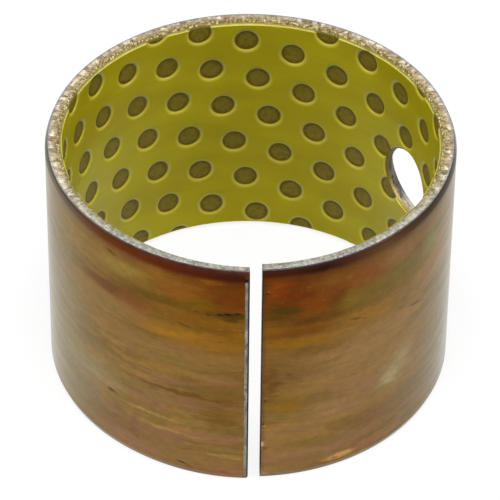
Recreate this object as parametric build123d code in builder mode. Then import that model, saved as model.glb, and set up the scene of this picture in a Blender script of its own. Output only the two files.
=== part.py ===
from build123d import *
import math
import os

# Split, rolled plain bushing: a steel strip with a sintered bronze interlayer
# and an acetal running layer, wrapped into a ring with a butt joint.
# Millimetres. The ring stands on one end face: +Z runs along the bore, the
# origin is the centre of the lower end, and the butt joint faces -Y.

# The ring
bore_diameter = 55.0
length = 40.0
joint_gap = 1.6
joint_edge_break = 0.25

# The strip's three layers, from the bore outwards
lining_thickness = 0.35
bronze_thickness = 0.4
steel_thickness = 1.75

# The ends: a slim lead-in outside, and inside a chamfer that crosses both
# bonded layers and stops at the steel
lead_in_width = 0.4
lead_in_length = 1.0
bore_chamfer_length = 0.55

# The oil hole, through the wall at half the length, at an angle from the joint
oil_hole_diameter = 11.2
oil_hole_edge_break = 0.9
oil_hole_angle = 118.5

# The grease pockets, pressed into the lining on a triangular grid that climbs
# round the bore. Each is a shallow twelve-sided recess with bevelled sides.
pocket_diameter = 4.2
pocket_depth = 0.27
pocket_sides = 12
pocket_pitch = 7.4
pocket_row_angle = 16.0
pocket_row_height = 36.4
pocket_joint_land = 0.6

# How far a cutting tool stands out of the surface that it cuts
tool_clearance = 0.3

# Radii and places that follow
bore_radius = bore_diameter / 2
bronze_bore_radius = bore_radius + lining_thickness
steel_bore_radius = bronze_bore_radius + bronze_thickness
outer_radius = steel_bore_radius + steel_thickness
lead_in_radius = outer_radius - lead_in_width
wall_thickness = outer_radius - bore_radius
pocket_radius = pocket_diameter / 2
ring_centre = Vector(0, 0, length / 2)
joint_direction = Vector(0, -1, 0)

# Where the wall is sectioned: what is revolved from here has its seam in the joint
joint_plane = Plane(origin=(0, 0, 0), x_dir=joint_direction, z_dir=(-1, 0, 0))


def layer_section(inner_radius, layer_radius):
    """Half section of the layer of the wall between two radii."""
    with BuildSketch(joint_plane) as section:
        with BuildLine():
            Polyline(
                (bore_radius, bore_chamfer_length),
                (steel_bore_radius, 0),
                (lead_in_radius, 0),
                (outer_radius, lead_in_length),
                (outer_radius, length - lead_in_length),
                (lead_in_radius, length),
                (steel_bore_radius, length),
                (bore_radius, length - bore_chamfer_length),
                close=True,
            )
        make_face()
        with Locations(((inner_radius + layer_radius) / 2, length / 2)):
            Rectangle(layer_radius - inner_radius, length, mode=Mode.INTERSECT)
    return section.sketch


def outward_plane(angle, height, radius=0):
    """Plane that faces outwards, at an angle from the joint."""
    outwards = joint_direction.rotate(Axis.Z, angle)
    return Plane(origin=outwards * radius + Vector(0, 0, height), x_dir=(0, 0, 1), z_dir=outwards)


def pocket_places():
    """Planes of the grease pockets on the bore.

    The grid lies on the unrolled strip, whose X runs round the bore from the
    joint and whose Y is the height. It starts opposite the joint, and leaves a
    land along both edges of the joint.
    """
    strip_length = math.pi * bore_diameter
    first_centre = joint_gap / 2 + pocket_joint_land + pocket_radius
    start = Vector(strip_length / 2, pocket_row_height)
    along_row = Vector(pocket_pitch, 0).rotate(Axis.Z, pocket_row_angle)
    to_next_row = along_row.rotate(Axis.Z, 60)
    reach = math.ceil(strip_length / pocket_pitch)
    places = []
    for row in range(-reach, reach + 1):
        for step in range(-reach, reach + 1):
            centre = start + along_row * step + to_next_row * row
            clear_of_joint = first_centre < centre.X < strip_length - first_centre
            meets_bore = abs(centre.Y - length / 2) < length / 2 + pocket_radius / 2
            if clear_of_joint and meets_bore:
                places.append(outward_plane(360 * centre.X / strip_length, centre.Y, bore_radius))
    return places


# What goes through all three layers: the butt joint and the oil hole
with BuildPart() as wall_cuts:
    with BuildSketch(Plane.XY):
        with Locations(joint_direction * (bore_radius + wall_thickness / 2)):
            Rectangle(joint_gap, wall_thickness + 2 * tool_clearance)
    extrude(amount=length)
    with BuildSketch(outward_plane(oil_hole_angle, length / 2)):
        Circle(oil_hole_diameter / 2)
    extrude(amount=outer_radius + tool_clearance)

# Steel backing: the strip that carries the layers, with the lead-ins outside
with BuildPart() as steel_backing:
    add(layer_section(steel_bore_radius, outer_radius))
    revolve(axis=Axis.Z)
    add(wall_cuts.part, mode=Mode.SUBTRACT)
    cut_edges = steel_backing.edges(Select.LAST)
    joint_edges = cut_edges.filter_by(Axis.Z).sort_by(Axis.Y)
    hole_edges = cut_edges.filter_by(GeomType.BSPLINE).sort_by_distance(ring_centre)
    chamfer(joint_edges[:2], length=joint_edge_break)
    chamfer(hole_edges[-1], length=oil_hole_edge_break)
steel_backing.part.label = "steel_backing"

# Bronze interlayer: the sintered layer that keys the lining to the steel
with BuildPart() as bronze_interlayer:
    add(layer_section(bronze_bore_radius, steel_bore_radius))
    revolve(axis=Axis.Z)
    add(wall_cuts.part, mode=Mode.SUBTRACT)
bronze_interlayer.part.label = "bronze_interlayer"

# The punch of one grease pocket: bevelled, with its nose pointing outwards
with BuildPart() as pocket_punch:
    with BuildSketch(Plane.XY.offset(-tool_clearance)):
        RegularPolygon(pocket_radius + tool_clearance, pocket_sides, major_radius=False)
    with BuildSketch(Plane.XY.offset(pocket_depth)):
        RegularPolygon(pocket_radius - pocket_depth, pocket_sides, major_radius=False)
    loft(ruled=True)

# Acetal lining: the running surface, with the grease pockets
with BuildPart() as acetal_lining:
    add(layer_section(bore_radius, bronze_bore_radius))
    revolve(axis=Axis.Z)
    add(wall_cuts.part, mode=Mode.SUBTRACT)
    with Locations(*pocket_places()):
        add(pocket_punch.part, mode=Mode.SUBTRACT)
acetal_lining.part.label = "acetal_lining"

os.makedirs("parts", exist_ok=True)
export_step(steel_backing.part, "parts/steel_backing.step")
export_step(bronze_interlayer.part, "parts/bronze_interlayer.step")
export_step(acetal_lining.part, "parts/acetal_lining.step")
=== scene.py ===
import math

import bmesh
import bpy
from mathutils import Matrix


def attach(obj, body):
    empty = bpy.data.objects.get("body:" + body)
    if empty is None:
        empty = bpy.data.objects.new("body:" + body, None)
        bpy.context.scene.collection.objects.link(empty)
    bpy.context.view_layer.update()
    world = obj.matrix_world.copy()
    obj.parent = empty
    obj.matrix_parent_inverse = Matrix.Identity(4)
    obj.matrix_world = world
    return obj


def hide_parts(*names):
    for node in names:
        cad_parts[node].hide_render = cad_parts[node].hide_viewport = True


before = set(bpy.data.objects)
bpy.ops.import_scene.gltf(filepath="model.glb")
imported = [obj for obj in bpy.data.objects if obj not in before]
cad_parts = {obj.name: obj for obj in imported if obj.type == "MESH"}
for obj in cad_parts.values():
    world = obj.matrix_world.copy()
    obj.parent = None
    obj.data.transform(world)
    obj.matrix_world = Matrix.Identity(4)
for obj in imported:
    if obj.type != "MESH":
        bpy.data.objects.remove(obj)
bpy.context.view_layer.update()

# Split, rolled plain bushing. Each layer is modelled as it is made: as a flat
# strip on the bench, bore side up, which is then stood on edge and rolled.
# On the bench X runs along the strip, Y is the height in the finished ring and
# Z is minus the depth below the bore. Millimetres, until a piece is finished.
MM = 0.001
BORE_RADIUS = 27.5
# The three layers' thicknesses, and the length of the ring
LINING = 0.35
BRONZE = 0.4
STEEL = 1.75
LENGTH = 40.0
# The joint's two faces, measured along X from the ring's middle plane
LEFT_FACE = -0.8
RIGHT_FACE = 0.94
LEAD_IN_WIDTH = 0.4
LEAD_IN_LENGTH = 1.0
BORE_CHAMFER = 0.65
# The oil hole's place is in degrees from the joint
HOLE_RADIUS = 5.6
HOLE_EDGE_BREAK = 1.3
HOLE_TURN = 118.5
POCKET_PITCH = 7.4
POCKET_ROW_ANGLE = 16.0
POCKET_ROW_HEIGHT = 36.4
# How near to the joint a pocket's centre may come
POCKET_CLEARANCE = 3.5

BRONZE_DEPTH = LINING
STEEL_DEPTH = LINING + BRONZE
WALL = LINING + BRONZE + STEEL
OUTER_RADIUS = BORE_RADIUS + WALL
STRIP_HALF = math.pi * BORE_RADIUS
# The strips are rolled a little long, and the joint is cut afterwards
ROLLED_HALF = STRIP_HALF - 0.3
# How far a test stays clear of the line that it looks for
CLEAR = 0.05
# The left end of the strip stands out a little, over the last stretch
END_SPRING = 0.34
END_SPRING_LENGTH = 20.0
# Towards the left end the upper edges are filed away more and more, down and inwards
FILED_FROM = -66.0
FILED_LENGTH = ROLLED_HALF + FILED_FROM
FILED_DOWN = 0.26
FILED_OUTSIDE = 0.42


# --- bench work ---------------------------------------------------------


def alone(piece):
    """Selects one piece and nothing else."""
    if bpy.context.object and bpy.context.object.mode != "OBJECT":
        bpy.ops.object.mode_set(mode="OBJECT")
    bpy.ops.object.select_all(action="DESELECT")
    piece.select_set(True)
    bpy.context.view_layer.objects.active = piece


def named(name):
    """Names the primitive that was added last."""
    piece = bpy.context.object
    piece.name = name
    piece.data.name = name
    return piece


def edit(piece):
    """Opens one piece for editing."""
    alone(piece)
    bpy.ops.object.mode_set(mode="EDIT")


def done():
    """Closes the piece that is being edited."""
    bpy.ops.object.mode_set(mode="OBJECT")


def pick(piece, kind, test):
    """While a piece is edited, selects its verts, edges or faces that pass a test."""
    kinds = ("verts", "edges", "faces")
    bpy.context.tool_settings.mesh_select_mode = [kind == name for name in kinds]
    bpy.ops.mesh.select_all(action="DESELECT")
    shape = bmesh.from_edit_mesh(piece.data)
    for element in getattr(shape, kind):
        if test(element):
            element.select_set(True)
    shape.select_flush_mode()
    bmesh.update_edit_mesh(piece.data)


def work(piece, kind, test, tool, **settings):
    """Opens a piece, uses one tool on what passes a test, and closes the piece."""
    edit(piece)
    pick(piece, kind, test)
    tool(**settings)
    done()


def middle(edge):
    """The middle of an edge."""
    return (edge.verts[0].co + edge.verts[1].co) / 2


def runs_along_strip(edge):
    """Whether an edge runs along X."""
    run = edge.verts[1].co - edge.verts[0].co
    return abs(run.x) > 0.99 * run.length


def rise(edge):
    """How far an edge climbs up the flat strip."""
    return abs(edge.verts[1].co.y - edge.verts[0].co.y)


def anywhere(element):
    """The test that everything passes."""
    return True


def apply_place(piece):
    """Moves a piece's place, turn and scale into its mesh."""
    alone(piece)
    bpy.ops.object.transform_apply(location=True, rotation=True, scale=True)


def apply_modifier(piece, modifier):
    """Makes what a modifier does part of the mesh."""
    alone(piece)
    bpy.ops.object.modifier_apply(modifier=modifier.name)


def face_outwards(piece):
    """Turns every face outwards."""
    edit(piece)
    bpy.ops.mesh.select_all(action="SELECT")
    bpy.ops.mesh.normals_make_consistent(inside=False)
    done()


def roll_up(piece):
    """Stands a flat strip on its long edge and rolls it round the bore's axis."""
    piece.rotation_euler = (math.pi / 2, 0, 0)
    apply_place(piece)
    reach = [vert.co.x for vert in piece.data.vertices]
    roll = piece.modifiers.new("roll", "SIMPLE_DEFORM")
    roll.deform_method = "BEND"
    roll.deform_axis = "Z"
    roll.angle = -(max(reach) - min(reach)) / BORE_RADIUS
    apply_modifier(piece, roll)
    piece.location.y = BORE_RADIUS
    apply_place(piece)


def chisel(piece, reach, point, facing):
    """Cuts a flat on the faces that a test picks, and takes off what lies in front of it."""
    cut = {"plane_co": point, "plane_no": facing, "use_fill": True, "clear_outer": True}
    work(piece, "faces", reach, bpy.ops.mesh.bisect, **cut)


def beside_joint(side):
    """A test for the faces of the quarter ring on one side of the joint."""

    def test(face):
        centre = face.calc_center_median()
        return centre.y < 0 < side * centre.x

    return test


def cut_joint(piece):
    """Cuts both ends of a rolled strip to the parallel faces of the butt joint."""
    for side, face in ((-1, LEFT_FACE), (1, RIGHT_FACE)):
        chisel(piece, beside_joint(side), (face, 0, 0), (-side, 0, 0))


def flat_strip(name, top, bottom):
    """A plain flat strip between two depths below the bore."""
    size = (2 * ROLLED_HALF, LENGTH, bottom - top)
    place = (0, LENGTH / 2, -(top + bottom) / 2)
    bpy.ops.mesh.primitive_cube_add(size=1, location=place, scale=size)
    strip = named(name)
    apply_place(strip)
    return strip


def slope_ends(strip, inwards, depth, up, towards_bore):
    """Cuts a slope along both long edges of a flat strip, through a line so far inwards
    and so deep. The slope faces up, or down at the lower edge, and towards the bore."""
    for edge, way in ((0, -1), (LENGTH, 1)):
        through = (0, edge - way * inwards, -depth)
        chisel(strip, anywhere, through, (0, way * up, towards_bore))


def divide_along(strip, steps):
    """Divides a flat strip along its length, so that it rolls up round."""
    edit(strip)
    for parts in steps:
        pick(strip, "edges", runs_along_strip)
        bpy.ops.mesh.subdivide(number_cuts=parts - 1)
    done()


def divide_across(strip, test, cuts):
    """Divides the short edges that a test picks, so that a long face becomes rows."""
    short = lambda edge: not runs_along_strip(edge) and test(edge)
    work(strip, "edges", short, bpy.ops.mesh.subdivide, number_cuts=cuts)


def roughen(strip, test, reach, seed):
    """Shakes the points that a test picks a little out of place."""
    work(strip, "verts", test, bpy.ops.transform.vertex_random, offset=reach, seed=seed)


def file_left_end(strip, test, axis, depth):
    """Tapers what a test picks on the strip's left stretch, by so much at its very end."""
    work(
        strip,
        "verts",
        lambda vert: vert.co.x < FILED_FROM and test(vert),
        bpy.ops.transform.rotate,
        value=depth / FILED_LENGTH,
        orient_axis=axis,
        center_override=(FILED_FROM, LENGTH, -STEEL_DEPTH),
    )


def spring_left_end(strip):
    """Lets the left end of the strip stand out, as it does where the roller leaves it."""
    work(
        strip,
        "verts",
        lambda vert: vert.co.x < CLEAR - ROLLED_HALF,
        bpy.ops.transform.translate,
        value=(0, 0, -END_SPRING),
        use_proportional_edit=True,
        proportional_edit_falloff="SMOOTH",
        proportional_size=END_SPRING_LENGTH,
    )


# --- finishes -----------------------------------------------------------


def shade(red, green, blue):
    """A colour as it looks on a screen, 0 to 255, as the linear colour that a shader takes."""
    parts = (value / 255 for value in (red, green, blue))
    return (*(v / 12.92 if v <= 0.04045 else ((v + 0.055) / 1.055) ** 2.4 for v in parts), 1)


class Finish:
    """A material in the making, with the places on the ring that its patterns follow."""

    # Millimetres on the outside for one degree round the ring
    PER_DEGREE = math.radians(OUTER_RADIUS)

    def __init__(self, name):
        self.material = bpy.data.materials.new(name)
        self.material.use_nodes = True
        self.nodes = self.material.node_tree.nodes
        self.links = self.material.node_tree.links
        self.shader = self.nodes["Principled BSDF"]
        metres = self.node("TexCoord").outputs["Object"]
        scaled = self.node("VectorMath", operation="SCALE")
        self.put(scaled.inputs[0], metres)
        scaled.inputs["Scale"].default_value = 1 / MM
        self.place = scaled.outputs[0]
        parts = self.node("SeparateXYZ", self.place).outputs
        flat = self.node("CombineXYZ", parts[0], parts[1], 0.0).outputs[0]
        # Distance from the axis, height, millimetres along the unrolled strip with the
        # joint at its ends, and degrees from the joint, signed and to either side
        self.out = self.node("VectorMath", flat, operation="LENGTH").outputs["Value"]
        self.up = parts[2]
        self.along = self.sum("MULTIPLY", self.sum("ARCTAN2", parts[0], parts[1]), BORE_RADIUS)
        back = self.sum("MULTIPLY", parts[1], -1.0)
        self.turn = self.sum("MULTIPLY", self.sum("ARCTAN2", parts[0], back), math.degrees(1))
        self.aside = self.sum("ABSOLUTE", self.turn)
        self.sheet = self.node("CombineXYZ", self.along, self.up, self.out).outputs[0]
        # Millimetres from the joint on the outside
        self.round = self.sum("MULTIPLY", self.turn, self.PER_DEGREE)

    def put(self, socket, value):
        """Links a socket to another, or sets it."""
        if isinstance(value, bpy.types.NodeSocket):
            self.links.new(value, socket)
        else:
            socket.default_value = value

    def node(self, kind, *values, **settings):
        """A new node, with its settings and its first inputs."""
        made = self.nodes.new("ShaderNode" + kind)
        for name, value in settings.items():
            setattr(made, name, value)
        for socket, value in zip(made.inputs, values):
            self.put(socket, value)
        return made

    def sum(self, operation, *values, clamp=False):
        """The result of one step of arithmetic."""
        return self.node("Math", *values, operation=operation, use_clamp=clamp).outputs[0]

    def both(self, first, second):
        """Two shares multiplied."""
        return self.sum("MULTIPLY", first, second)

    def fade(self, value, low, high, to_low=0.0, to_high=1.0):
        """Goes smoothly from one number to another as a value passes from low to high."""
        numbers = (value, low, high, to_low, to_high)
        return self.node("MapRange", *numbers, interpolation_type="SMOOTHSTEP").outputs[0]

    def fall(self, value, low, high, top=1.0):
        """Goes smoothly from a number down to 0 as a value passes from low to high."""
        return self.fade(value, low, high, top, 0.0)

    def grown(self, place, x, y, z):
        """A place with its three parts multiplied."""
        return self.node("VectorMath", place, (x, y, z), operation="MULTIPLY").outputs[0]

    def noise(self, place, scale, detail=3.0, roughness=0.55):
        """Soft random grey."""
        made = self.node("TexNoise")
        self.put(made.inputs["Vector"], place)
        for name, value in (("Scale", scale), ("Detail", detail), ("Roughness", roughness)):
            made.inputs[name].default_value = value
        return made.outputs["Fac"]

    def cells(self, place, scale):
        """Cells of random grey, and the distance from their middles."""
        made = self.node("TexVoronoi")
        self.put(made.inputs["Vector"], place)
        made.inputs["Scale"].default_value = scale
        return self.node("SeparateXYZ", made.outputs["Color"]).outputs[0], made.outputs["Distance"]

    def mix(self, share, first, second, mode="MIX"):
        """Two colours mixed, with a share of the second. A colour of three numbers is one
        as it looks on a screen."""
        made = self.node("Mix", data_type="RGBA", blend_type=mode)
        self.put(made.inputs[0], share)
        for socket, colour in zip(made.inputs[6:8], (first, second)):
            seen = isinstance(colour, tuple) and len(colour) == 3
            self.put(socket, shade(*colour) if seen else colour)
        return made.outputs[2]

    def ramp(self, value, *stops):
        """A colour that follows a value through (value, colour) stops."""
        made = self.node("ValToRGB", value)
        band = made.color_ramp
        while len(band.elements) < len(stops):
            band.elements.new(0.5)
        for element, (position, colour) in zip(band.elements, stops):
            element.position = position
            element.color = shade(*colour)
        return made.outputs[0]

    def drift(self, base, *parts):
        """A number shifted by noises, each as (stretched scales, detail, reach)."""
        for scales, detail, reach in parts:
            wander = self.noise(self.grown(self.sheet, *scales), 1.0, detail, 0.6)
            centred = self.sum("SUBTRACT", wander, 0.5)
            base = self.sum("MULTIPLY_ADD", centred, reach, base)
        return base

    def patch(self, turn, up, wide, high, soft=0.8, lean=0.0):
        """A patch of 1 on the outside: degrees from the joint, height, half its size in
        millimetres each way, how soft its edge is, and how many degrees it leans."""
        middle = (turn * self.PER_DEGREE, up, 0)
        apart = self.node("VectorMath", self.drawn_place, middle, operation="SUBTRACT")
        from_middle = apart.outputs[0]
        if lean:
            leant = self.node("VectorRotate", from_middle, rotation_type="Z_AXIS")
            leant.inputs["Angle"].default_value = -math.radians(lean)
            from_middle = leant.outputs[0]
        size = self.grown(from_middle, 1 / wide, 1 / high, 0)
        reach = self.node("VectorMath", size, operation="LENGTH").outputs["Value"]
        return self.fade(reach, 1 - soft, 1.0 + soft / 2, 1.0, 0.0)

    def coat(self, share, tint, strength=None, mode="MIX"):
        """Lays a colour over what is there, by a share and a strength."""
        if strength is not None:
            share = self.both(share, strength)
        self.colour = self.mix(share, self.colour, tint, mode)

    def stain(self, stains, through=None):
        """Lays stains over the colour: each is a patch, its colour and how strong it is."""
        for *place, tint, strength in stains:
            share = self.both(self.patch(*place), strength)
            if through:
                share = self.sum("MULTIPLY", share, through, clamp=True)
            self.coat(share, tint)

    def lighten(self, *shares):
        """Makes the colour lighter or darker by numbers near 1."""
        for share in shares:
            grey = self.node("CombineXYZ", share, share, share).outputs[0]
            self.coat(1.0, grey, mode="MULTIPLY")

    def surface(self, metallic, roughness, *bumps):
        """Sets the shader, with bumps of (height, depth in millimetres)."""
        self.put(self.shader.inputs["Base Color"], self.colour)
        self.shader.inputs["Metallic"].default_value = metallic
        self.put(self.shader.inputs["Roughness"], roughness)
        below = None
        for height, depth in bumps:
            bump = self.node("Bump")
            bump.inputs["Distance"].default_value = depth * MM
            self.put(bump.inputs["Height"], height)
            if below:
                self.put(bump.inputs["Normal"], below)
            below = bump.outputs[0]
        if below:
            self.put(self.shader.inputs["Normal"], below)
        return self.material


# Stains of the film: degrees from the joint, height, half length and half height in
# millimetres, how soft the edge is and the lean in degrees, then colour and strength
BROAD_STAINS = (
    (2, 36.5, 22, 7.5, 1, (104, 56, 2), 1),
    (0, 27.5, 18, 4.5, 1, (118, 78, 20), 0.7),
    (-32, 36, 10, 5, 1, (126, 90, 34), 0.7),
    (42, 36, 11, 6, 1, (112, 76, 36), 0.7),
    (-8, 17, 6, 5, 1, (112, 78, 26), 0.7),
    (8, 20, 6, 6, 1, (108, 76, 28), 0.6),
    (-34, 3, 13, 4, 1, (134, 96, 56), 0.6),
    (10, 4, 12, 5, 1, (136, 100, 62), 0.6),
    (34, 20, 12, 10, 1, (144, 110, 68), 0.6),
    (-66, 18, 8, 20, 1, (134, 122, 90), 0.5),
    (67, 10, 9, 14, 1, (106, 90, 64), 0.5),
    # Round the back
    (-100, 30, 16, 5, 1, (112, 82, 32), 0.7),
    (-128, 11, 18, 5, 1, (148, 108, 70), 0.7),
    (-156, 34, 12, 4, 1, (102, 60, 18), 0.8),
    (-150, 22, 14, 4, 1, (138, 116, 66), 0.7),
    (100, 34, 14, 4, 1, (108, 64, 22), 0.8),
    (126, 8, 16, 4, 1, (146, 112, 76), 0.7),
    (140, 30, 12, 5, 1, (128, 106, 54), 0.7),
    (158, 17, 12, 5, 1, (116, 80, 34), 0.7),
    (168, 36, 8, 3, 1, (104, 56, 14), 0.8),
)
STAINS = (
    # Upper left
    (-42, 35, 7, 2, 1, (138, 112, 52), 0.7),
    (-39, 35.4, 4.4, 1.4, (142, 120, 60), 0.6),
    (-28.5, 37.4, 2.6, 0.9, (152, 112, 44), 0.8),
    (-20, 35.3, 4.6, 2.2, 1, (134, 84, 42), 0.9),
    (-12, 38, 1.8, 0.6, (150, 100, 36), 0.9),
    (-7, 35.4, 3.6, 2.6, 1, (104, 54, 2), 0.9),
    (-14.5, 33.4, 2.4, 1.5, (112, 80, 6), 0.9),
    (-28, 32.5, 7.5, 1.1, (100, 76, 18), 0.95),
    (-43, 30.5, 8, 1.6, 0.8, 1, (104, 64, 26), 0.95),
    (-35, 29.9, 3.2, 1.3, (122, 74, 32), 0.8),
    (-46, 39.1, 5, 0.6, (140, 56, 22), 0.8),
    (-6.5, 31.9, 4, 0.9, (72, 54, 4), 0.95),
    (-20, 30.2, 7, 0.8, (124, 84, 26), 0.8),
    # Golden band under it
    (-21, 26.8, 6.4, 1.9, (150, 106, 34), 0.9),
    (-10, 26.2, 5.4, 1.4, (140, 96, 26), 0.8),
    (-4.6, 28.5, 1.2, 1.3, (130, 92, 16), 0.8),
    (-50, 27, 7, 2.6, 1, (142, 106, 62), 0.7),
    (-36, 24.2, 9, 1.8, 1, (128, 98, 48), 0.7),
    (-12, 23.2, 7, 1.6, 1, (136, 100, 52), 0.6),
    # Upper right
    (13, 35.2, 7.5, 4.2, 1, (106, 54, 6), 0.8),
    (6.3, 37.2, 1.9, 2, (130, 64, 14), 0.9),
    (10.5, 35, 2.3, 3, (104, 44, 2), 0.9),
    (17, 33, 3.2, 1.8, (116, 60, 4), 0.9),
    (21.5, 37, 3.2, 1.8, (118, 76, 28), 0.9),
    (23.3, 33, 1.7, 2.8, (98, 54, 12), 0.8),
    (6.8, 32.2, 3, 2, (76, 54, 6), 0.95),
    (16.5, 30, 6.4, 1.2, 1, (88, 50, 8), 0.85),
    (13, 28, 6, 0.9, (108, 60, 12), 0.8),
    (33, 31.7, 5, 2.1, 1, (112, 92, 36), 0.85),
    (27.8, 31.6, 2, 1.6, 1, (118, 100, 38), 0.6),
    (33, 35.8, 5, 2.3, 1, -6, (122, 70, 34), 0.9),
    (44, 36.2, 3.6, 2.5, 1, -8, (136, 98, 70), 0.8),
    (47, 32.4, 5.6, 2.2, 1, -6, (110, 92, 40), 0.9),
    (58.5, 33.6, 2, 2.3, (116, 116, 68), 0.7),
    (14, 26.1, 6.4, 0.9, (134, 92, 16), 0.9),
    (16, 24, 6, 1.3, (112, 80, 34), 0.8),
    (35, 27.6, 5, 1.4, 0.8, -6, (142, 100, 38), 0.8),
    (44, 23.5, 5, 1.8, 1, -6, (140, 104, 66), 0.6),
    # Lower right
    (8.5, 14.2, 3.4, 2.2, (130, 94, 22), 0.8),
    (4.5, 18.6, 1.2, 4, (100, 62, 18), 0.7),
    (11, 19.4, 1.4, 1.2, (112, 78, 44), 0.5),
    (44, 14, 3.8, 2.9, 1, 10, (150, 132, 90), 0.7),
    (41.6, 13, 1.9, 1.5, 1, 10, (172, 158, 112), 0.6),
    (47.6, 16.6, 2.2, 1.4, 1, 14, (158, 142, 100), 0.5),
    (36.5, 7.5, 4.2, 2.2, 1, 5, (118, 80, 44), 0.9),
    (33.5, 8.6, 1.7, 0.8, (130, 88, 56), 0.5),
    (36, 6.4, 1.9, 0.8, (128, 86, 56), 0.5),
    (50, 8.4, 6, 2, 1, 10, (114, 90, 56), 0.8),
    (13, 9, 5.4, 0.8, (130, 94, 64), 0.5),
    (15, 6.2, 5.6, 0.7, (120, 92, 36), 0.8),
    (25.5, 1.9, 2.8, 0.45, (184, 136, 80), 0.9),
    (34, 2.2, 2.8, 0.9, (138, 90, 60), 0.7),
    (24, 12, 6, 2.2, 1, (146, 112, 72), 0.6),
    # Lower left
    (-34.3, 6, 0.7, 4.2, 1, (122, 82, 54), 0.6),
    (-34.4, 3.6, 0.8, 1.7, (110, 68, 48), 0.7),
    (-20, 15.5, 9.5, 0.3, (106, 70, 26), 0.9),
    (-9, 11.8, 3, 1.7, (110, 78, 22), 0.9),
    (-7, 15.3, 1.3, 0.8, (116, 76, 30), 0.6),
    (-12, 19.4, 4.4, 0.9, (142, 102, 72), 0.6),
    (-30, 9.7, 4.4, 0.35, (164, 132, 78), 0.8),
    (-24, 7.6, 6.4, 0.45, (160, 126, 68), 0.7),
    (-8, 4.7, 2.6, 0.4, (164, 130, 62), 0.8),
    (-39, 2.6, 6, 1.7, (142, 102, 68), 0.8),
    (-11, 1.2, 6, 0.65, (128, 78, 50), 0.7),
    (-52, 12, 7, 2.8, 1, 8, (150, 132, 92), 0.7),
    (-56, 7, 7, 2.6, 1, 6, (130, 110, 74), 0.6),
    (-22, 19.5, 8, 1.6, 1, (144, 106, 48), 0.6),
)
# Marks and scratches with a sharper edge, in the same terms
SCRATCH = (36, 22, 6)
MARKS = (
    (2.35, 20, 0.4, 24, 0.9, (88, 52, 26), 0.5),
    (2.3, 36.5, 0.4, 3, 0.9, (76, 44, 26), 0.6),
    (2.4, 6.9, 0.32, 0.5, 0.7, (208, 162, 120), 0.95),
    (3.3, 6.1, 0.45, 0.35, 0.8, (100, 64, 18), 0.7),
    (2.9, 10.5, 0.3, 0.3, 0.8, (176, 132, 84), 0.6),
    (3.1, 0.9, 0.8, 0.45, 0.8, -35, (160, 124, 92), 0.7),
    (-9.5, 32, 0.65, 0.2, 0.6, SCRATCH, 0.95),
    (-7.2, 32.2, 0.65, 0.22, 0.6, 4, SCRATCH, 0.95),
    (-4.6, 32.4, 0.75, 0.17, 0.6, 4, SCRATCH, 0.9),
    (-12.4, 31.8, 0.5, 0.16, 0.6, SCRATCH, 0.6),
    (-16, 32, 0.4, 0.14, 0.6, SCRATCH, 0.3),
    (-43.2, 37.35, 0.6, 0.2, 0.7, -12, SCRATCH, 0.7),
    (-41.8, 37.1, 0.5, 0.2, 0.7, -14, SCRATCH, 0.6),
    (-43.4, 10.4, 0.9, 0.3, 0.7, (60, 36, 14), 0.8),
    (-41.6, 10.3, 0.6, 0.14, 0.6, -8, (60, 36, 14), 0.5),
    (-20.2, 1.9, 0.9, 0.17, 0.6, -10, (60, 36, 14), 0.85),
    (-18.3, 1.5, 0.6, 0.12, 0.6, -12, SCRATCH, 0.55),
    (-19.6, 29, 1.2, 0.2, 0.8, -13, SCRATCH, 0.5),
    (-15.4, 28.2, 1.2, 0.15, 0.8, -12, SCRATCH, 0.35),
    (-9.5, 26.8, 0.5, 0.2, 0.7, SCRATCH, 0.25),
    (28.8, 27.9, 1.1, 0.2, 0.7, -12, SCRATCH, 0.5),
    (31.6, 27.3, 0.6, 0.12, 0.7, -12, SCRATCH, 0.3),
    (51.2, 24.1, 1.7, 0.22, 0.7, -16, SCRATCH, 0.55),
    (45, 25.4, 1.3, 0.14, 0.7, -16, SCRATCH, 0.3),
    (52.4, 26.4, 0.6, 0.14, 0.7, -18, SCRATCH, 0.4),
    (23.5, 1.75, 0.8, 0.14, 0.7, -6, SCRATCH, 0.5),
    (3.2, 36, 0.35, 0.16, 0.7, SCRATCH, 0.6),
    (2.5, 10.8, 0.3, 0.3, 0.7, SCRATCH, 0.7),
    (2.9, 15.4, 0.4, 0.25, 0.7, SCRATCH, 0.5),
    (9.6, 20.2, 0.6, 0.3, 0.8, SCRATCH, 0.3),
)
# Strokes that drawing left all over the film: how fine their pattern is along and up,
# where they start and are full, their colour and their strength
STROKES = (
    ((0.04, 0.18), 0.47, 0.57, (150, 112, 54), 0.6),
    ((0.06, 0.24), 0.5, 0.58, (104, 78, 30), 0.6),
    ((0.07, 0.32), 0.5, 0.6, (146, 100, 72), 0.6),
    ((0.1, 0.45), 0.52, 0.6, (124, 104, 50), 0.5),
    ((0.12, 0.7), 0.54, 0.62, (150, 112, 52), 0.25),
    ((0.16, 1.0), 0.55, 0.62, (104, 72, 28), 0.25),
    ((0.3, 1.8), 0.6, 0.66, (170, 134, 76), 0.22),
    ((0.3, 2.4), 0.61, 0.66, (88, 58, 22), 0.25),
    ((0.5, 3.4), 0.63, 0.68, (182, 148, 90), 0.22),
)


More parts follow.
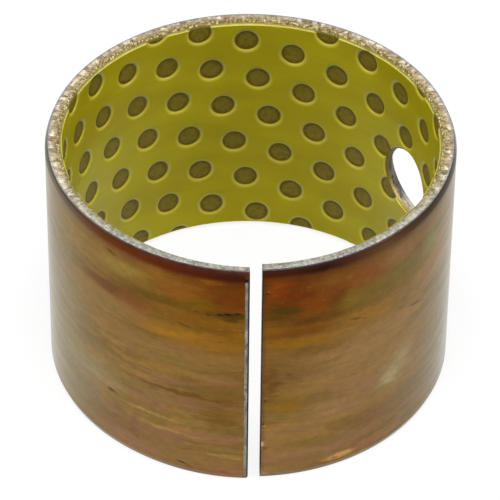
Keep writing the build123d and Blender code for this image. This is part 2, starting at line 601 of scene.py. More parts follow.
def copper_brown_film():
    """The thin coloured film on the outside of the steel, drawn out along the strip."""
    film = Finish("copper_brown_film")
    # Drawing has pulled every stain out along the strip and frayed its edge
    film.drawn_place = film.node(
        "CombineXYZ",
        film.drift(
            film.round, ((0.12, 1, 0), 2, 4.0), ((0.5, 2.5, 0), 2, 3.0), ((1.3, 1.3, 0), 2, 1.4)
        ),
        film.drift(
            film.up, ((0.1, 0.3, 0), 2, 1.4), ((0.4, 0.8, 0), 2, 1.4), ((1.2, 1.6, 0), 2, 0.7)
        ),
        0.0,
    ).outputs[0]
    wavy = film.drift(film.up, ((0.03, 0.06, 0), 2, 3.0), ((0.4, 0.4, 0), 2, 0.7))
    film.sheet = film.node("CombineXYZ", film.along, wavy, film.out).outputs[0]
    drawn = film.noise(film.grown(film.sheet, 0.12, 0.9, 0), 1.0, 4, 0.5)
    hair = film.noise(film.grown(film.sheet, 0.6, 5.0, 0), 1.0, 2, 0.5)
    mottle = film.noise(film.grown(film.place, 0.7, 0.7, 1.0), 1.0, 5, 0.65)
    # Right of the joint it is a little paler
    right = film.both(film.fade(film.turn, -60, 10), film.fall(film.aside, 100, 170))
    film.colour = film.mix(right, (132, 102, 50), (124, 92, 42))
    for number, ((long, high), start, full, tint, strength) in enumerate(STROKES):
        stretched = film.grown(film.sheet, long, high, 0)
        shifted = film.node("VectorMath", stretched, (7.3 * number, 3.1, 0)).outputs[0]
        stroke = film.fade(film.noise(shifted, 1.0, 5, 0.65), start, full, 0.0, strength)
        film.coat(stroke, tint)
    # Far round the sides the strokes die down
    calm = film.both(film.fade(film.aside, 58, 76, 0.0, 0.6), film.fall(film.aside, 84, 100))
    film.coat(calm, (128, 104, 66))
    film.stain(BROAD_STAINS)
    film.stain(STAINS, film.fade(drawn, 0.36, 0.56, 0.7, 1.1))
    film.lighten(
        film.fade(drawn, 0.3, 0.7, 0.94, 1.06),
        film.fade(mottle, 0.3, 0.7, 0.92, 1.08),
        film.fade(hair, 0.3, 0.7, 0.965, 1.035),
    )
    # Towards the top the film is warmer, most of all by the joint
    upper = film.fade(film.up, 22, 31)
    film.coat(upper, (1, 0.96, 0.62, 1), 0.6, "MULTIPLY")
    film.coat(film.fall(film.aside, 15, 45), (1, 0.94, 0.4, 1), upper, "MULTIPLY")
    # Small pale and dark flecks, gathered here and there
    grain, from_grain = film.cells(film.grown(film.place, 0.8, 0.8, 1.5), 1.3)
    fleck = film.both(film.fall(from_grain, 0.12, 0.34), film.fade(mottle, 0.45, 0.6))
    for picked, limit, strength, tint in (
        ("GREATER_THAN", 0.8, 0.12, (190, 160, 106)),
        ("LESS_THAN", 0.24, 0.22, (74, 46, 22)),
    ):
        film.coat(film.both(fleck, film.sum(picked, grain, limit)), tint, strength)
    # The marks are less frayed than the stains
    film.drawn_place = film.node(
        "CombineXYZ",
        film.drift(film.round, ((0.9, 3.0, 0), 1, 0.6), ((2.5, 5.0, 0), 1, 0.5)),
        film.drift(film.up, ((1.6, 1.6, 0), 2, 0.4)),
        0.0,
    ).outputs[0]
    film.stain(MARKS)
    # Dark red-brown over the lead-ins, greyer away from the joint
    lead = film.ramp(
        film.fade(film.turn, -180, 180),
        (0.0, (66, 46, 28)), (0.16, (84, 66, 46)), (0.2183, (112, 98, 78)),
        (0.3125, (96, 50, 10)), (0.3543, (92, 40, 2)), (0.3981, (85, 30, 2)),
        (0.4447, (74, 23, 3)), (0.478, (55, 20, 2)), (0.5165, (66, 22, 3)),
        (0.5416, (60, 21, 4)), (0.5789, (42, 12, 0)), (0.618, (74, 39, 19)),
        (0.6572, (90, 60, 32)), (0.6939, (70, 45, 24)), (0.744, (60, 43, 27)),
        (0.85, (60, 42, 28)), (1.0, (66, 46, 28)),
    )
    # Heights under the filed top of the left end, and the band runs higher right of the joint
    filed = film.node("MapRange", film.along, FILED_FROM, -ROLLED_HALF, 0.0, FILED_DOWN)
    height = film.sum("ADD", film.up, filed.outputs[0])
    higher = film.both(film.fade(film.turn, 0, 1, 0.0, -0.35), film.fall(film.turn, 6, 38))
    band = film.sum("ADD", height, higher)
    frayed = film.drift(band, ((0.35, 0.8, 0), 3, 0.7), ((1.6, 1.6, 0), 2, 0.5))
    film.coat(film.fade(height, 36.4, 38.7), lead, 0.4)
    film.coat(film.fade(frayed, 38.1, 39.0), lead, 0.95)
    film.coat(film.fade(height, 39.3, 39.85), (46, 36, 34), 0.6)
    # Painted shade: the lower lead-in is darkened in place of the shadowed floor that it reflects
    film.coat(film.fall(film.up, 0.3, 1.0, 0.8), (62, 46, 38))
    for name, value in (
        ("Specular Tint", (0.86, 0.88, 0.78, 1)),
        ("Coat Weight", 0.7),
        ("Coat IOR", 1.14),
        ("Coat Roughness", 0.15),
    ):
        film.shader.inputs[name].default_value = value
    roughness = film.fade(drawn, 0.3, 0.7, 0.3, 0.42)
    return film.surface(1.0, roughness, (drawn, 0.004), (mottle, 0.008), (hair, 0.001))


def faced_steel():
    """The bare end lands: cut steel, blotched with cream, pink and olive round the back."""
    steel = Finish("faced_steel")
    across = steel.node("CombineXYZ", steel.round, steel.out, 0.0).outputs[0]
    blotch, _ = steel.cells(steel.grown(across, 1.15, 0.8, 0), 1.0)
    grain, _ = steel.cells(steel.grown(across, 3.2, 2.0, 0), 1.0)
    speck, _ = steel.cells(steel.place, 5.0)
    cloud = steel.noise(steel.place, 1.4, 4)
    grainy = steel.fade(steel.aside, 35, 80, 0.2, 1.0)
    coarse = steel.ramp(
        blotch,
        (0.0, (92, 80, 40)), (0.2, (226, 216, 190)), (0.4, (142, 116, 84)),
        (0.56, (240, 232, 212)), (0.74, (118, 106, 62)), (0.88, (190, 168, 144)),
        (1.0, (138, 104, 74)),
    )
    fine = steel.ramp(
        grain,
        (0.0, (98, 80, 50)), (0.3, (184, 168, 136)), (0.6, (232, 222, 198)),
        (1.0, (148, 134, 104)),
    )
    blotched = steel.mix(0.25, coarse, fine)
    # The inner part of the land is browner: bronze has been dragged over it
    inner = steel.fall(steel.drift(steel.out, ((1.2, 1.2, 0), 2, 0.8)), 28.4, 29.0, 0.75)
    dragged = steel.mix(grain, (104, 90, 44), (168, 150, 98))
    blotched = steel.mix(inner, blotched, dragged)
    silver = steel.mix(steel.fade(cloud, 0.3, 0.7), (118, 119, 114), (170, 170, 163))
    steel.colour = steel.mix(grainy, silver, blotched)
    pits = steel.both(steel.fall(speck, 0.06, 0.12), 0.5)
    steel.coat(pits, (84, 74, 58))
    # The turned edge outside is plain grey, and the film has crept over it beside the joint
    outer = steel.fade(steel.out, 29.2, 29.45)
    steel.coat(outer, (138, 140, 142), 0.75)
    crept = steel.both(steel.fade(steel.out, 29.34, 29.44), steel.fall(steel.aside, 40, 75, 0.95))
    steel.coat(crept, (44, 38, 42))
    # The corners at the joint are darker: painted shade
    left = steel.fade(steel.turn, -4.2, -2.4, 0.0, 0.7)
    right = steel.fall(steel.turn, 1.9, 3.0, 0.75)
    steel.coat(steel.both(left, right), (84, 86, 90))
    roughness = steel.fade(grain, 0.0, 1.0, 0.3, 0.55)
    return steel.surface(1.0, roughness, (blotch, 0.03), (grain, 0.03))


def drilled_steel():
    """Cut steel inside the oil hole and on the joint faces. In the hole its colour paints light and
    shade.
    """
    steel = Finish("drilled_steel")
    scored = steel.noise(steel.grown(steel.place, 1.0, 1.0, 4.0), 1.0, 4, 0.6)
    patchy = steel.noise(steel.place, 1.6, 3)
    up = steel.drift(steel.up, ((1.2, 1.2, 1.2), 2, 2.0))
    in_hole = steel.fade(steel.aside, 60, 80)
    steel.colour = steel.mix(scored, (112, 108, 100), (184, 180, 168))
    # In the hole, from the bottom up: pale as painted light, a rusty notch, then olive brown as
    # painted shade
    low = steel.both(steel.fall(up, 13.8, 15.0, 0.6), in_hole)
    steel.coat(low, (166, 158, 122))
    notch = steel.both(steel.fade(up, 14.0, 15.2), steel.fall(up, 17.6, 18.8, 0.9))
    rust = steel.mix(steel.fade(patchy, 0.4, 0.6), (36, 26, 8), (104, 74, 30))
    steel.coat(steel.both(notch, in_hole), rust)
    high = steel.both(steel.fade(up, 17.6, 18.8, 0.0, 0.9), in_hole)
    steel.coat(high, steel.mix(patchy, (52, 46, 22), (92, 82, 44)))
    # The flare has painted light and shade, pale at the bottom and blue-black above, and the
    # outside edge is dark as painted shade, less so over the pale bottom
    flare = steel.both(steel.fade(steel.out, 28.75, 29.0, 0.0, 0.85), in_hole)
    flare_light_and_shade = steel.mix(steel.fade(up, 14.0, 15.6), (196, 190, 174), (56, 54, 58))
    steel.coat(flare, flare_light_and_shade)
    edge = steel.both(steel.fade(steel.out, 29.45, 29.8), steel.fade(low, 0.0, 0.6, 0.75, 0.1))
    steel.coat(edge, (66, 65, 74))
    roughness = steel.fade(scored, 0.3, 0.7, 0.34, 0.55)
    return steel.surface(0.85, roughness, (scored, 0.03), (patchy, 0.03))


def filed_edge(name, dark, pale, under_top=0.0):
    """An edge of the joint that a file has passed over, or not quite up to the top."""
    steel = Finish(name)
    filed = steel.noise(steel.grown(steel.place, 2.0, 2.0, 0.8), 1.0, 4, 0.7)
    patchy = steel.noise(steel.grown(steel.place, 1.0, 1.0, 0.4), 1.0, 3)
    steel.colour = steel.mix(steel.fade(filed, 0.3, 0.7), dark, pale)
    steel.coat(steel.fade(patchy, 0.48, 0.6, 0.0, 0.7), dark)
    if under_top:
        missed = steel.fade(steel.up, LENGTH - under_top - 0.4, LENGTH - under_top)
        steel.coat(missed, (18, 12, 11))
    return steel.surface(1.0, steel.fade(filed, 0.3, 0.7, 0.3, 0.5), (filed, 0.02))


def sintered_finish():
    """Sintered bronze: grains of brown, brass and cream, with acetal between them."""
    bronze = Finish("sintered_bronze")
    grain, middle_out = bronze.cells(bronze.place, 3.2)
    speck, _ = bronze.cells(bronze.place, 6.5)
    bronze.colour = bronze.ramp(
        grain,
        (0.0, (86, 72, 30)), (0.3, (132, 116, 64)), (0.55, (154, 142, 98)),
        (0.8, (192, 180, 140)), (0.92, (140, 122, 74)), (1.0, (122, 86, 50)),
    )
    bronze.coat(bronze.fade(middle_out, 0.4, 0.7, 0.0, 0.7), (84, 74, 24))
    bronze.coat(bronze.fall(speck, 0.1, 0.2, 0.5), (56, 42, 16))
    # In the oil hole the drill has smeared it, and its colour there is painted light and shade:
    # pale below, olive brown higher up
    height = bronze.fade(bronze.drift(bronze.up, ((1.2, 1.2, 1.2), 2, 2.0)), 15.5, 18.0)
    smear = bronze.mix(height, (146, 136, 88), (100, 90, 42))
    bronze.coat(bronze.fall(bronze.up, 37, 38, 0.85), smear)
    return bronze.surface(0.6, bronze.fade(grain, 0, 1, 0.45, 0.65), (middle_out, -0.05))


def acetal_finish():
    """Olive-yellow acetal, darker on the pocket floors and paler where it is cut."""
    acetal = Finish("olive_acetal")
    cloud = acetal.noise(acetal.grown(acetal.sheet, 0.06, 0.16, 0), 1.0, 3, 0.5)
    drawn = acetal.noise(acetal.grown(acetal.sheet, 0.12, 2.2, 0), 1.0, 3, 0.6)
    smear = acetal.noise(acetal.sheet, 1.6, 4, 0.65)
    fine = acetal.noise(acetal.sheet, 5.0, 2, 0.5)
    acetal.colour = acetal.mix(acetal.fade(cloud, 0.35, 0.65), (140, 129, 0), (150, 141, 3))
    acetal.coat(acetal.fade(drawn, 0.4, 0.75, 0.0, 0.25), (132, 120, 0))
    # How deep a place is in the strip, as before its left end sprang out
    sprung = acetal.fall(acetal.along, -STRIP_HALF, END_SPRING_LENGTH - STRIP_HALF, END_SPRING)
    unsprung = acetal.sum("SUBTRACT", acetal.out, sprung)
    deep = acetal.sum("SUBTRACT", unsprung, BORE_RADIUS)
    uneven = acetal.sum("MULTIPLY_ADD", acetal.sum("SUBTRACT", smear, 0.5), 0.04, deep)
    # From the rim of a pocket down: a pale lip, partly pale acetal and partly a painted highlight,
    # a polished side, a dark ring of painted shade and the floor
    pale_lip_and_highlight = acetal.both(acetal.fade(deep, 0.004, 0.05), acetal.fall(deep, 0.1, 0.17))
    polished = acetal.both(acetal.fade(deep, 0.06, 0.12), acetal.fall(deep, 0.2, 0.235))
    floor_share = acetal.fade(uneven, 0.205, 0.248)
    ground = acetal.mix(acetal.fade(smear, 0.3, 0.7), (94, 80, 10), (108, 93, 24))
    # Painted shade: the floor is darkened round its edge, at the foot of the steep side
    ground = acetal.mix(acetal.fall(uneven, 0.246, 0.268, 0.7), ground, (62, 50, 0))
    # The lip is paler acetal, made paler still as a painted highlight
    acetal.coat(pale_lip_and_highlight, (198, 190, 110), 0.22)
    acetal.coat(floor_share, ground)
    lower = acetal.fade(acetal.up, BORE_CHAMFER - CLEAR, BORE_CHAMFER)
    chamfer_from = LENGTH - BORE_CHAMFER
    within = acetal.both(lower, acetal.fall(acetal.up, chamfer_from, chamfer_from + CLEAR))
    # The cut ends: a pale edge at the bore, and bronze mixed in behind it
    behind = acetal.fade(acetal.drift(unsprung, ((0.9, 0.9, 0), 2, 0.25)), 27.62, 27.72)
    bronzed = acetal.mix(fine, (80, 68, 22), (138, 124, 62))
    cut = acetal.mix(behind, (150, 146, 72), bronzed)
    acetal.colour = acetal.mix(within, cut, acetal.colour)
    polished = acetal.both(polished, within)
    gloss = acetal.fade(polished, 0, 1, 0.25, 0.55)
    acetal.put(acetal.shader.inputs["Specular IOR Level"], gloss)
    glint = acetal.mix(polished, (1, 0.95, 0.25, 1), (1, 1, 0.9, 1))
    acetal.put(acetal.shader.inputs["Specular Tint"], glint)
    roughness = acetal.fade(floor_share, 0, 1, 0.36, 0.48)
    return acetal.surface(0.0, roughness, (drawn, 0.004), (smear, 0.008))


# --- lining -------------------------------------------------------------

# Steps from the rim of a pocket to its floor: how far in, and how far down
POCKET_STEPS = (
    (0.25, 0.01), (0.2, 0.024), (0.16, 0.038), (0.11, 0.048), (0.08, 0.058), (0.06, 0.05),
    (0.1, 0.02), (0.4, 0.012), (0.4, 0.008),
)
POCKET_RIM = 2.64
TILE_SIDE_CUTS = 4
# Tiles each way from the grid's start, and how far past the strip a tile's middle may lie
GRID_COUNT = 40
GRID_OVERHANG = 4.3
# How near points become one: where tiles meet, and once the sheet is trimmed
TILE_JOIN = 0.01
TRIM_JOIN = 0.02
# How uneven the face's trimmed edges are
RAGGED = 0.04


def pocket_tile(name, pressed):
    """One hexagon of the flat lining, with a grease pocket pressed into it or plain."""
    turn = (0, 0, -math.radians(POCKET_ROW_ANGLE))
    bpy.ops.mesh.primitive_circle_add(
        vertices=6 * (TILE_SIDE_CUTS + 1), radius=POCKET_RIM, fill_type="NGON", rotation=turn
    )
    tile = named(name)
    edit(tile)
    bpy.ops.mesh.select_all(action="SELECT")
    for inwards, down in POCKET_STEPS:
        bpy.ops.mesh.inset(thickness=inwards, depth=-down if pressed else 0)
    bpy.ops.mesh.poke()
    bpy.ops.mesh.primitive_circle_add(vertices=6, radius=POCKET_PITCH / math.sqrt(3), rotation=turn)
    bpy.ops.mesh.subdivide(number_cuts=TILE_SIDE_CUTS)
    pick(tile, "edges", lambda edge: len(edge.link_faces) < 2)
    bpy.ops.mesh.bridge_edge_loops(number_cuts=1, interpolation="LINEAR")
    done()
    apply_place(tile)
    return tile


def tile_places():
    """Bench places of the hexagons, and whether a pocket is pressed there."""
    turn = math.radians(POCKET_ROW_ANGLE)
    places = []
    for row in range(-GRID_COUNT, GRID_COUNT + 1):
        for step in range(-GRID_COUNT, GRID_COUNT + 1):
            along = POCKET_PITCH * (step * math.cos(turn) + row * math.cos(turn + math.pi / 3))
            up = POCKET_PITCH * (step * math.sin(turn) + row * math.sin(turn + math.pi / 3))
            x, y = -along, POCKET_ROW_HEIGHT + up
            if abs(x) < STRIP_HALF + GRID_OVERHANG and -GRID_OVERHANG < y < LENGTH + GRID_OVERHANG:
                places.append((x, y, abs(x) < STRIP_HALF - POCKET_CLEARANCE))
    return places


def on_back(vert):
    """Whether a point of the sheet lies on its back."""
    return vert.co.z < TILE_JOIN - LINING


def on_rim(vert):
    """Whether a point lies where face and back meet, on the lower or upper edge."""
    across = any(on_back(edge.other_vert(vert)) != on_back(vert) for edge in vert.link_edges)
    return across and not 1 < vert.co.y < LENGTH - 1


def acetal_lining():
    """The running layer: a sheet of pocket tiles, trimmed and backed."""
    tiles = (pocket_tile("plain_tile", False), pocket_tile("pocket_tile", True))
    copies = []
    for x, y, pressed in tile_places():
        copy = tiles[pressed].copy()
        copy.data = tiles[pressed].data.copy()
        copy.location = (x, y, 0)
        bpy.context.scene.collection.objects.link(copy)
        copies.append(copy)
    for tile in tiles:
        bpy.data.objects.remove(tile)
    alone(copies[0])
    for copy in copies:
        copy.select_set(True)
    bpy.ops.object.join()
    sheet = named("acetal_running_layer")
    apply_place(sheet)
    edit(sheet)
    bpy.ops.mesh.select_all(action="SELECT")
    bpy.ops.mesh.remove_doubles(threshold=TILE_JOIN)
    for point, facing in (
        ((0, BORE_CHAMFER, 0), (0, -1, 0)),
        ((0, LENGTH - BORE_CHAMFER, 0), (0, 1, 0)),
        ((FILED_FROM, LENGTH - BORE_CHAMFER, 0), (-FILED_DOWN / FILED_LENGTH, 1, 0)),
        ((-ROLLED_HALF, 0, 0), (-1, 0, 0)),
        ((ROLLED_HALF, 0, 0), (1, 0, 0)),
    ):
        bpy.ops.mesh.select_all(action="SELECT")
        bpy.ops.mesh.bisect(plane_co=point, plane_no=facing, clear_outer=True)
    bpy.ops.mesh.select_all(action="SELECT")
    bpy.ops.mesh.remove_doubles(threshold=TRIM_JOIN)
    bpy.ops.mesh.extrude_region_move(TRANSFORM_OT_translate={"value": (0, 0, -1)})
    bpy.ops.transform.resize(value=(1, 1, 0), center_override=(0, 0, -LINING))
    # The bore chamfer: the back of the sheet reaches further than its face
    reach = BORE_CHAMFER * LINING / (LINING + BRONZE)
    for low, high, shift in ((0, 1, -reach), (LENGTH - 1, LENGTH, reach)):
        pick(sheet, "verts", lambda vert: low < vert.co.y < high and on_back(vert) and on_rim(vert))
        bpy.ops.transform.translate(value=(0, shift, 0))
    done()
    roughen(sheet, lambda vert: not on_back(vert) and on_rim(vert), RAGGED, 3)
    return sheet


# --- bronze -------------------------------------------------------------

# Steps of division along the strip, and how far its grains shift and stand out
BRONZE_PARTS = (29, 31)
GRAIN_SHIFT = 0.04
GRAIN_PEAK = 0.045


def inside_bronze(place):
    """Whether a place on the flat strip lies between the bronze's two faces."""
    return BRONZE_DEPTH + 0.02 < -place.z < STEEL_DEPTH - 0.02


def is_grain(face):
    """Whether a face is one of the little ones on the sloped ends."""
    sloped = inside_bronze(face.calc_center_median()) and abs(face.normal.y) > 0.2
    return sloped and face.calc_area() < 0.1


def sintered_bronze():
    """The sintered layer, whose ends carry on the bore chamfer."""
    strip = flat_strip("sintered_bronze_layer", BRONZE_DEPTH, STEEL_DEPTH)
    rest = BORE_CHAMFER * BRONZE / (LINING + BRONZE)
    slope_ends(strip, 0, STEEL_DEPTH, BRONZE, rest)
    divide_across(strip, lambda edge: rise(edge) < 1, 3)
    divide_along(strip, BRONZE_PARTS)
    file_left_end(strip, lambda vert: vert.co.y > LENGTH - 1, "Z", -FILED_DOWN)
    # Grains: each little face of the sloped ends is a peak
    roughen(strip, lambda vert: inside_bronze(vert.co), GRAIN_SHIFT, 5)
    work(strip, "faces", is_grain, bpy.ops.mesh.poke, offset=GRAIN_PEAK)
    return strip


# --- steel --------------------------------------------------------------

# Steps of division along the strip, how round its edges are, and how uneven its lands
STEEL_PARTS = (19, 23)
ROUNDED = 0.08
LAND_SHIFT = 0.03
# How far the joint's flats reach from its faces, and how wide the clipped corner is
LEFT_FLAT = 0.77
LEFT_DARK_FLAT = 0.33
LEFT_CLIP = 0.4
RIGHT_FLAT = 0.16


def on_land(place):
    """Whether a place on the flat strip lies on an end land, clear of its borders."""
    return STEEL_DEPTH + CLEAR < -place.z < WALL - LEAD_IN_WIDTH - 0.1


def is_outer_edge(edge):
    """Whether an edge runs along the strip and is not on its inside."""
    return runs_along_strip(edge) and middle(edge).z < -STEEL_DEPTH - 0.1


def above_lead_in(vert):
    """Whether a point lies at the lower line of the upper lead-in, or above it."""
    return vert.co.y > LENGTH - LEAD_IN_LENGTH - 0.15


def at_land_rim(vert):
    """Whether a point lies where the upper land meets the lead-in."""
    return vert.co.y > LENGTH - 0.5 and 1.95 < -vert.co.z < 2.25


def steel_backing():
    """The steel strip, with the slim lead-ins outside."""
    strip = flat_strip("steel_backing_strip", STEEL_DEPTH, WALL)
    slope_ends(strip, LEAD_IN_LENGTH, WALL, LEAD_IN_WIDTH, -LEAD_IN_LENGTH)
    work(strip, "edges", is_outer_edge, bpy.ops.mesh.bevel, offset=ROUNDED, segments=2)
    divide_across(strip, lambda edge: on_land(middle(edge)) and rise(edge) < 0.1, 2)
    # The outer row of each land is the widest
    line = lambda vert: 1.5 < -vert.co.z < 1.9
    work(strip, "verts", line, bpy.ops.transform.translate, value=(0, 0, 0.2))
    divide_along(strip, STEEL_PARTS)
    file_left_end(strip, above_lead_in, "Z", -FILED_DOWN)
    file_left_end(strip, at_land_rim, "Y", -FILED_OUTSIDE)
    short = ROLLED_HALF - 0.1
    roughen(strip, lambda vert: on_land(vert.co) and abs(vert.co.x) < short, LAND_SHIFT, 6)
    return strip


def break_joint_edges(steel):
    """Files flats on the outside edges of the joint, and clips its left bottom corner."""
    left_outside = -OUTER_RADIUS - END_SPRING
    left, right = beside_joint(-1), beside_joint(1)
    for side, point, facing in (
        # A pale flat, a dark one at the face, and the clipped corner
        (left, (LEFT_FACE - LEFT_FLAT, left_outside, 0), (0.3, -1, 0)),
        (left, (LEFT_FACE - LEFT_DARK_FLAT, left_outside + CLEAR, 0), (1, -0.8, 0)),
        (left, (LEFT_FACE - LEFT_CLIP, -29, 0), (4, 0, -1)),
        # A narrow flat
        (right, (RIGHT_FACE + RIGHT_FLAT, -OUTER_RADIUS, 0), (-1, -0.9, 0)),
    ):
        chisel(steel, side, point, facing)


# --- oil hole -----------------------------------------------------------

HOLE_SIDES = 96


def hole_punch():
    """The punch of the oil hole: it flares outside, and rounds the lining's edge off-centre."""
    # Depth below the bore, radius, and how far the ring is off the axis along and up
    levels = (
        (-1.0, HOLE_RADIUS + 1.3, -0.3, 0.4),
        (-0.02, HOLE_RADIUS + 0.35, -0.16, 0.26),
        (0.14, HOLE_RADIUS + 0.15, -0.08, 0.14),
        (LINING, HOLE_RADIUS, 0, 0),
        (WALL - HOLE_EDGE_BREAK, HOLE_RADIUS, 0, 0),
        (WALL, HOLE_RADIUS + HOLE_EDGE_BREAK, -0.1, 0.35),
        (WALL + 1.0, HOLE_RADIUS + HOLE_EDGE_BREAK + 1.0, -0.1, 0.35),
    )
    bpy.ops.mesh.primitive_circle_add(vertices=HOLE_SIDES, radius=1, fill_type="NGON")
    punch = named("oil_hole_punch")
    edit(punch)
    bpy.ops.mesh.select_all(action="SELECT")
    # The level before: its depth, its radius along and up, and its place
    before = (0, 1, 1, 0, 0)
    for number, (depth, radius, off_along, off_up) in enumerate(levels):
        # A straight hole is narrower along the flat strip than up it
        wide = radius * BORE_RADIUS / (BORE_RADIUS + depth)
        step = (off_along - before[3], off_up - before[4], before[0] - depth)
        if number:
            bpy.ops.mesh.extrude_region_move(TRANSFORM_OT_translate={"value": step})
        else:
            bpy.ops.transform.translate(value=step)
        bpy.ops.transform.resize(
            value=(wide / before[1], radius / before[2], 1),
            center_override=(off_along, off_up, -depth),
        )
        before = (depth, wide, radius, off_along, off_up)
    done()
    punch.location = (math.radians(180 - HOLE_TURN) * BORE_RADIUS, LENGTH / 2, 0)
    apply_place(punch)
    face_outwards(punch)
    roll_up(punch)
    return punch


def drill(piece, punch):
    """Takes the punch out of a rolled layer."""
    hole = piece.modifiers.new("oil_hole", "BOOLEAN")
    hole.operation = "DIFFERENCE"
    hole.solver = "EXACT"
    hole.object = punch
    apply_modifier(piece, hole)


# --- finishing ----------------------------------------------------------

# Faces that meet at less than this many degrees are shaded as one
SMOOTH_BELOW = 35


def finish_piece(piece, node):
    """Brings a piece to metres and hands it to the frame in place of its CAD node."""
    piece.scale = (MM, MM, MM)
    apply_place(piece)
    bpy.ops.object.shade_smooth_by_angle(angle=math.radians(SMOOTH_BELOW))
    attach(piece, "root")
    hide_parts(node)


bpy.ops.object.select_all(action="DESELECT")
punch = hole_punch()
layers = {}
for build, node, slot in (
    (steel_backing, "steel_backing", "steel"),
    (sintered_bronze, "bronze_interlayer", "bronze"),
    (acetal_lining, "acetal_lining", "acetal"),
):
    piece = build()
    spring_left_end(piece)
    roll_up(piece)
    cut_joint(piece)
    if node == "steel_backing":
        break_joint_edges(piece)
    face_outwards(piece)
    drill(piece, punch)
    finish_piece(piece, node)
    layers[node] = piece
bpy.data.objects.remove(punch)


# --- which face gets which finish ---------------------------------------

# How near to an end the rounded edges lie
RIM = 1.2


def give_material(piece, material, test):
    """Gives a material to the faces that pass a test."""
    piece.data.materials.append(material)
    number = len(piece.data.materials) - 1
    for face in piece.data.polygons:
        if test(face):
            face.material_index = number


def outside(face):
    """Whether a face of the steel lies on the rolled outside or its lead-ins."""
    outwards = face.normal.xy.dot(face.center.xy.normalized())
    # The rims' rounded edges belong to it, and the flare of the oil hole does not
    least = 0.85 if RIM < face.center.z / MM < LENGTH - RIM else 0.3
    return outwards > least and face.center.xy.length / MM > OUTER_RADIUS - 0.9


def on_end(face):
    """Whether a face lies on an end land."""
    return abs(face.normal.z) > 0.9


def on_broken_edge(side, least, most):
    """A test for the flats on one side of the joint, by how far they turn to the gap."""

    def test(face):
        centre = face.center / MM
        turned = -side * face.normal.x
        return centre.y < -29 and 0.5 < side * centre.x < 2 and least < turned < most

    return test


steel = layers["steel_backing"]
give_material(steel, drilled_steel(), anywhere)
give_material(steel, copper_brown_film(), outside)
give_material(steel, faced_steel(), on_end)
# The same filed steel twice: a copy with painted light on the pale flats, and one with painted
# shade on the flats turned to the gap
lit_filed_flat = filed_edge("filed_flat_painted_light", (92, 86, 74), (182, 180, 166), 1.5)
shaded_filed_flat = filed_edge("filed_flat_painted_shade", (38, 40, 48), (76, 78, 86))
give_material(steel, lit_filed_flat, on_broken_edge(-1, 0.15, 0.6))
give_material(steel, shaded_filed_flat, on_broken_edge(-1, 0.6, 1.1))
give_material(steel, shaded_filed_flat, on_broken_edge(1, 0.5, 1.1))
give_material(layers["bronze_interlayer"], sintered_finish(), anywhere)
give_material(layers["acetal_lining"], acetal_finish(), anywhere)


# --- floor, light and camera --------------------------------------------

bpy.ops.mesh.primitive_plane_add(size=6, location=(0, 0, 0))
floor = named("studio_floor")


def seen_share(tree, share):
    """That share on rays that see the background straight, in a gloss or through glass."""
    rays = tree.nodes.new("ShaderNodeLightPath").outputs
    found = rays["Is Camera Ray"]
    for name in ("Is Glossy Ray", "Is Transmission Ray"):
        larger = tree.nodes.new("ShaderNodeMath")
        larger.operation = "MAXIMUM"
        tree.links.new(found, larger.inputs[0])
        tree.links.new(rays[name], larger.inputs[1])
        found = larger.outputs[0]
    part = tree.nodes.new("ShaderNodeMath")
    part.operation = "MULTIPLY"
    part.inputs[1].default_value = share
    tree.links.new(found, part.inputs[0])
    return part.outputs[0]


# How much white the floor shows where it is seen straight, and the paper under it
PAPER_GLOW = 0.84
PAPER_GREY = (0.6, 0.6, 0.6, 1)
PAPER_ROUGHNESS = 0.8


def pale_floor():
    """White paper that keeps part of the shadow."""
    material = bpy.data.materials.new("pale_paper")
    material.use_nodes = True
    tree = material.node_tree
    paper = tree.nodes["Principled BSDF"]
    paper.inputs["Base Color"].default_value = PAPER_GREY
    paper.inputs["Roughness"].default_value = PAPER_ROUGHNESS
    glow = tree.nodes.new("ShaderNodeEmission")
    mixed = tree.nodes.new("ShaderNodeMixShader")
    tree.links.new(seen_share(tree, PAPER_GLOW), mixed.inputs[0])
    tree.links.new(paper.outputs[0], mixed.inputs[1])
    tree.links.new(glow.outputs[0], mixed.inputs[2])
    tree.links.new(mixed.outputs[0], tree.nodes["Material Output"].inputs["Surface"])
    return material


floor.data.materials.append(pale_floor())


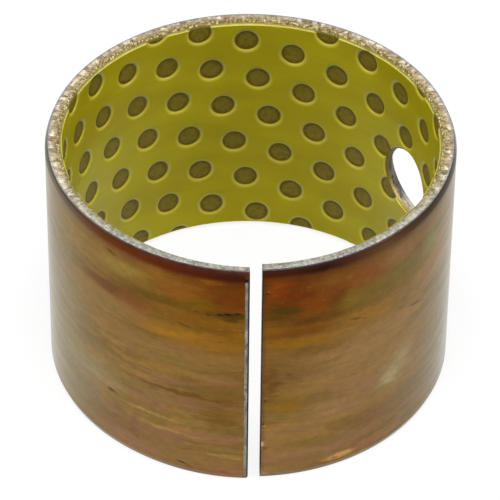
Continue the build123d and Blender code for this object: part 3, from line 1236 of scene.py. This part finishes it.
def studio_world(level):
    """White all round: full where it is seen, and lower where it lights."""
    world = bpy.data.worlds.new("studio")
    bpy.context.scene.world = world
    world.use_nodes = True
    tree = world.node_tree
    background = tree.nodes["Background"]
    background.inputs["Color"].default_value = (1, 1, 1, 1)
    strength = tree.nodes.new("ShaderNodeMath")
    strength.operation = "ADD"
    strength.inputs[1].default_value = level
    tree.links.new(seen_share(tree, 1 - level), strength.inputs[0])
    tree.links.new(strength.outputs[0], background.inputs["Strength"])


def soft_box(name, place, size, watts):
    """A square lamp that faces the ring."""
    lamp = bpy.data.objects.new(name, bpy.data.lights.new(name, "AREA"))
    bpy.context.scene.collection.objects.link(lamp)
    lamp.data.shape = "SQUARE"
    lamp.data.size = size
    lamp.data.energy = watts
    lamp.location = place
    lamp.rotation_euler = (-lamp.location).to_track_quat("-Z", "Y").to_euler()


WORLD_LEVEL = 0.26
studio_world(WORLD_LEVEL)
soft_box("overhead_box", (0.0, -0.16, 0.9), 0.35, 10.0)
soft_box("front_box", (0.0, -0.52, 0.7), 0.2, 1.2)
soft_box("left_box", (-0.6, -0.1, 0.55), 0.4, 3.3)
soft_box("right_box", (0.6, -0.1, 0.55), 0.4, 3.3)

CAMERA_AIM = (0.06 * MM, 0, 18.28 * MM)
CAMERA_DISTANCE = 562.95 * MM
CAMERA_ELEVATION = math.radians(40.787)
CAMERA_TURN = math.radians(-1.75)
CAMERA_ROLL = math.radians(0.675)
CAMERA_LENS = 271.57
camera = bpy.data.objects.new("camera", bpy.data.cameras.new("camera"))
bpy.context.scene.collection.objects.link(camera)
camera.data.sensor_width = 36
camera.data.lens = CAMERA_LENS
turn = (
    Matrix.Rotation(CAMERA_TURN, 4, "Z")
    @ Matrix.Rotation(math.pi / 2 - CAMERA_ELEVATION, 4, "X")
    @ Matrix.Rotation(CAMERA_ROLL, 4, "Z")
)
back = Matrix.Translation((0, 0, CAMERA_DISTANCE))
camera.matrix_world = Matrix.Translation(CAMERA_AIM) @ turn @ back
bpy.context.scene.camera = camera
bpy.context.scene.view_settings.view_transform = "Standard"
